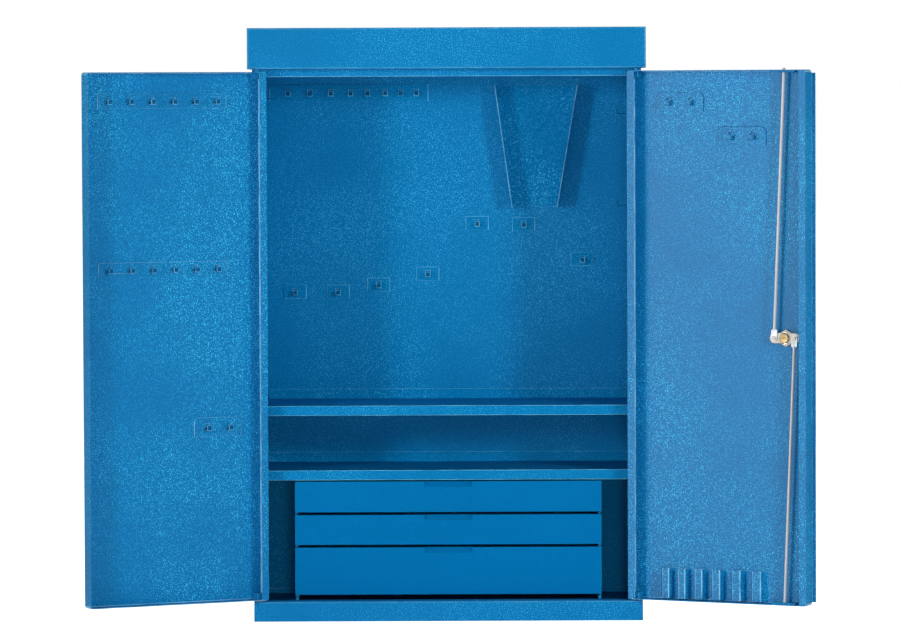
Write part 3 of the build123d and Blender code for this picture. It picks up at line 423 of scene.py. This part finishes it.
paint_shade_on_tongues(dressed("back_hook_rail", hook_blue, fold=0, cut=0.0006, rim=0.6))
paint_shade_on_tongues(dressed("back_hook_plates", hook_blue, fold=0, cut=0.0006, rim=0.6))
# The side hooks get the painted shade all over, as they stand in shade.
dressed("side_hooks", hook_painted_shade, fold=0, cut=0.0005)

# ---- tapered holder --------------------------------------------------------------------
# One sheet with its long edges folded forwards as two fins that close in towards the foot. It
# is spot-welded to the back below the inner top.
dressed("tapered_holder", hook_blue, fold=0.0014, cut=0.0002)

# ---- left door -------------------------------------------------------------------------
# A folded pan in the same blue, with a rougher and glossier coat than the body's, and wear with a
# painted highlight along its edges and lips. Two hook rails and one double plate are welded
# inside.
door_colours = {"Paint": (0.0, 0.186, 0.462), "Painted Glint": (0.06, 0.66, 0.96)}
door_grain = {"Painted Glint Amount": 1.0, "Grain": 680.0, "Relief": 0.9, "Mottle": 0.18, "Edge Wear And Painted Light Amount": 0.8}
door_blue = coated("door_blue", powder_coat, {**door_colours, "Edge Wear And Painted Light": (0.36, 0.72, 0.90)},
                   door_grain, specular=0.3)
dressed("door_left_panel", door_blue, fold=0, cut=0.0005, rim=1.0, lip=0.25)
dressed("door_left_pivot_blocks", door_blue, fold=0.0006)
for name in ("left_hook_rail_upper", "left_hook_rail_lower", "left_hook_plate"):
    paint_shade_on_tongues(dressed(name, door_blue, fold=0, cut=0.0005, rim=0.6))

# ---- right door ------------------------------------------------------------------------
# The other pan has lips on both sides, with a painted highlight along them, and a flat bar on its
# free edge covers the gap between the doors. Inside are two double plates with painted shade along
# their edges, a corrugated pocket strip and the rod guides, all welded on.
# The dark edge colour of these plates is painted shade along their seams.
plate_blue_shaded_edges = coated("plate_blue_shaded_edges", powder_coat, {**door_colours, "Edge Wear And Painted Light": (0.004, 0.07, 0.19)},
                    door_grain, specular=0.3)
dressed("door_right_panel", door_blue, fold=0, cut=0.0005, rim=1.0, lip=0.2)
dressed("door_right_pivot_blocks", door_blue, fold=0.0006)
for name in ("right_hook_plate_upper", "right_hook_plate_lower"):
    dressed(name, plate_blue_shaded_edges, fold=0, cut=0.0007, rim=0.6)
dressed("door_overlap_strip", door_blue, fold=0, cut=0.0004)
dressed("pocket_strip", door_blue, fold=0.0014, cut=0.0003)
dressed("rod_guides", body_blue, fold=0.0006)

# ---- rod lock --------------------------------------------------------------------------
# A black handle outside turns a square spindle, and a cross plate on it drives two round rods
# through rivets. A hexagon nut clamps the barrel. The plate, nut, barrel, rods and rivets are
# zinc plated, the screw head is brass and the key plug is chromed.
zinc = coated("zinc", plated_metal, {"Metal": (0.80, 0.79, 0.76), "Tarnish": (0.50, 0.48, 0.45)},
              {"Gloss": 0.22}, metallic=0.75)
brass = coated("brass", plated_metal, {"Metal": (0.44, 0.33, 0.15), "Tarnish": (0.15, 0.10, 0.05)},
               {"Gloss": 0.35}, metallic=0.5)
warm_zinc = coated("warm_zinc", plated_metal,
                   {"Metal": (0.58, 0.54, 0.49), "Tarnish": (0.24, 0.19, 0.15)},
                   {"Gloss": 0.4, "Tarnish Amount": 0.25}, metallic=0.15, specular=0.3)
bright_rod = coated("bright_rod", plated_metal,
                    {"Metal": (0.66, 0.68, 0.69), "Tarnish": (0.46, 0.48, 0.50)},
                    {"Gloss": 0.42}, metallic=0.35, specular=0.3)
handle_black = coated("handle_black", plated_metal,
                      {"Metal": (0.018, 0.018, 0.02), "Tarnish": (0.035, 0.035, 0.036)},
                      {"Gloss": 0.35, "Relief": 0.4}, specular=0.4)
chrome = coated("chrome", plated_metal, {"Metal": (0.82, 0.82, 0.82), "Tarnish": (0.6, 0.6, 0.6)},
                {"Gloss": 0.05, "Tarnish Amount": 0.2}, metallic=1.0)
dressed("lock_barrel", zinc, fold=0.0005, cut=0.0003)
dressed("lock_nut", warm_zinc, fold=0.0008, cut=0.0004)
dressed("turn_handle", handle_black, fold=0.0012, cut=0.0004)
dressed("key_plug", chrome, fold=0.0003, cut=0.0002)
dressed("latch_cam", warm_zinc, fold=0, cut=0.0006)
dressed("cam_screw", brass, fold=0.0008, cut=0.0003)
dressed("rod_rivets", warm_zinc, fold=0.0005, cut=0.0005)
dressed("rod_upper", bright_rod, fold=0, cut=0.0004)
dressed("rod_lower", bright_rod, fold=0, cut=0.0004)

# ---- floor and room --------------------------------------------------------------------
# A plain white floor in an even white room. Both look brighter to the camera than they light
# the cabinet, so its bays keep their shadows.
white = (1, 1, 1, 1)


def camera_glow(tree, strength, unseen, seen):
    """One strength for what the camera sees, and a lower one for the light it gives."""
    ray = tree.nodes.new("ShaderNodeLightPath")
    glow = tree.nodes.new("ShaderNodeMapRange")
    glow.inputs["To Min"].default_value = unseen
    glow.inputs["To Max"].default_value = seen
    tree.links.new(ray.outputs["Is Camera Ray"], glow.inputs["Value"])
    tree.links.new(glow.outputs["Result"], strength)


bpy.ops.mesh.primitive_plane_add(size=60, location=(0, 0, 0))
floor = bpy.context.object
floor.name = "studio_floor"
paper = bpy.data.materials.new("white_paper")
paper.use_nodes = True
sheet = paper.node_tree.nodes["Principled BSDF"]
sheet.inputs["Base Color"].default_value = (0.92, 0.92, 0.92, 1)
sheet.inputs["Roughness"].default_value = 0.9
sheet.inputs["Emission Color"].default_value = white
camera_glow(paper.node_tree, sheet.inputs["Emission Strength"], unseen=0.1, seen=0.95)
floor.data.materials.append(paper)

world = bpy.data.worlds.new("white_room")
bpy.context.scene.world = world
world.use_nodes = True
room = world.node_tree.nodes["Background"]
room.inputs["Color"].default_value = white
camera_glow(world.node_tree, room.inputs["Strength"], unseen=0.2, seen=1.0)

# ---- lamps -----------------------------------------------------------------------------
# Soft square lamps stand far off at the left, right and front, above and behind. One more at
# the left gives only the sheen on the coat.
cabinet_middle = Vector((0, 0, 0.5))


def soft_lamp(name, place, size, watts, sheen=False):
    """A square lamp turned towards the middle of the cabinet."""
    bpy.ops.object.light_add(type="AREA", location=place)
    lamp = bpy.context.object
    lamp.name = name
    lamp.data.shape = "SQUARE"
    lamp.data.size = size
    lamp.data.energy = watts
    lamp.visible_camera = False
    lamp.visible_glossy = sheen
    lamp.visible_diffuse = not sheen
    aim = cabinet_middle - Vector(place)
    lamp.rotation_euler = aim.to_track_quat("-Z", "Y").to_euler()


soft_lamp("lamp_left", (-2.8, -3.2, 1.1), size=0.6, watts=56)
soft_lamp("lamp_right", (2.6, -3.2, 1.4), size=0.6, watts=57)
soft_lamp("lamp_front", (0.3, -8.2, 0.65), size=0.8, watts=101)
soft_lamp("lamp_top", (0.0, 0.5, 3.6), size=1.6, watts=34)
soft_lamp("lamp_back", (0.7, 4.2, 1.5), size=1.6, watts=44)
soft_lamp("lamp_sheen", (-3.2, -2.8, 1.0), size=1.2, watts=128, sheen=True)

# ---- camera ----------------------------------------------------------------------------
# A long lens nine metres in front, as high as the upper hooks and tilted slightly down. Its
# place and angles are fitted to the corners of the hood, plinth, shelves and doors.
camera_place = (0.0179, -8.9853, 0.8649)
yaw, pitch, roll = -0.001549, -0.042137, 0.004118
bpy.ops.object.camera_add(location=camera_place)
camera = bpy.context.object
camera.name = "photo_camera"
camera.data.sensor_fit = "HORIZONTAL"
camera.data.sensor_width = 36
camera.data.lens = 217.36
camera.data.clip_end = 100
ahead = math.cos(pitch)
forward = Vector((math.sin(yaw) * ahead, math.cos(yaw) * ahead, math.sin(pitch)))
level_right = Vector((math.cos(yaw), -math.sin(yaw), 0))
level_up = level_right.cross(forward)
right = math.cos(roll) * level_right - math.sin(roll) * level_up
up = math.cos(roll) * level_up + math.sin(roll) * level_right
camera.rotation_euler = Matrix((right, up, -forward)).transposed().to_euler()
bpy.context.scene.camera = camera
bpy.context.scene.view_settings.view_transform = "Standard"
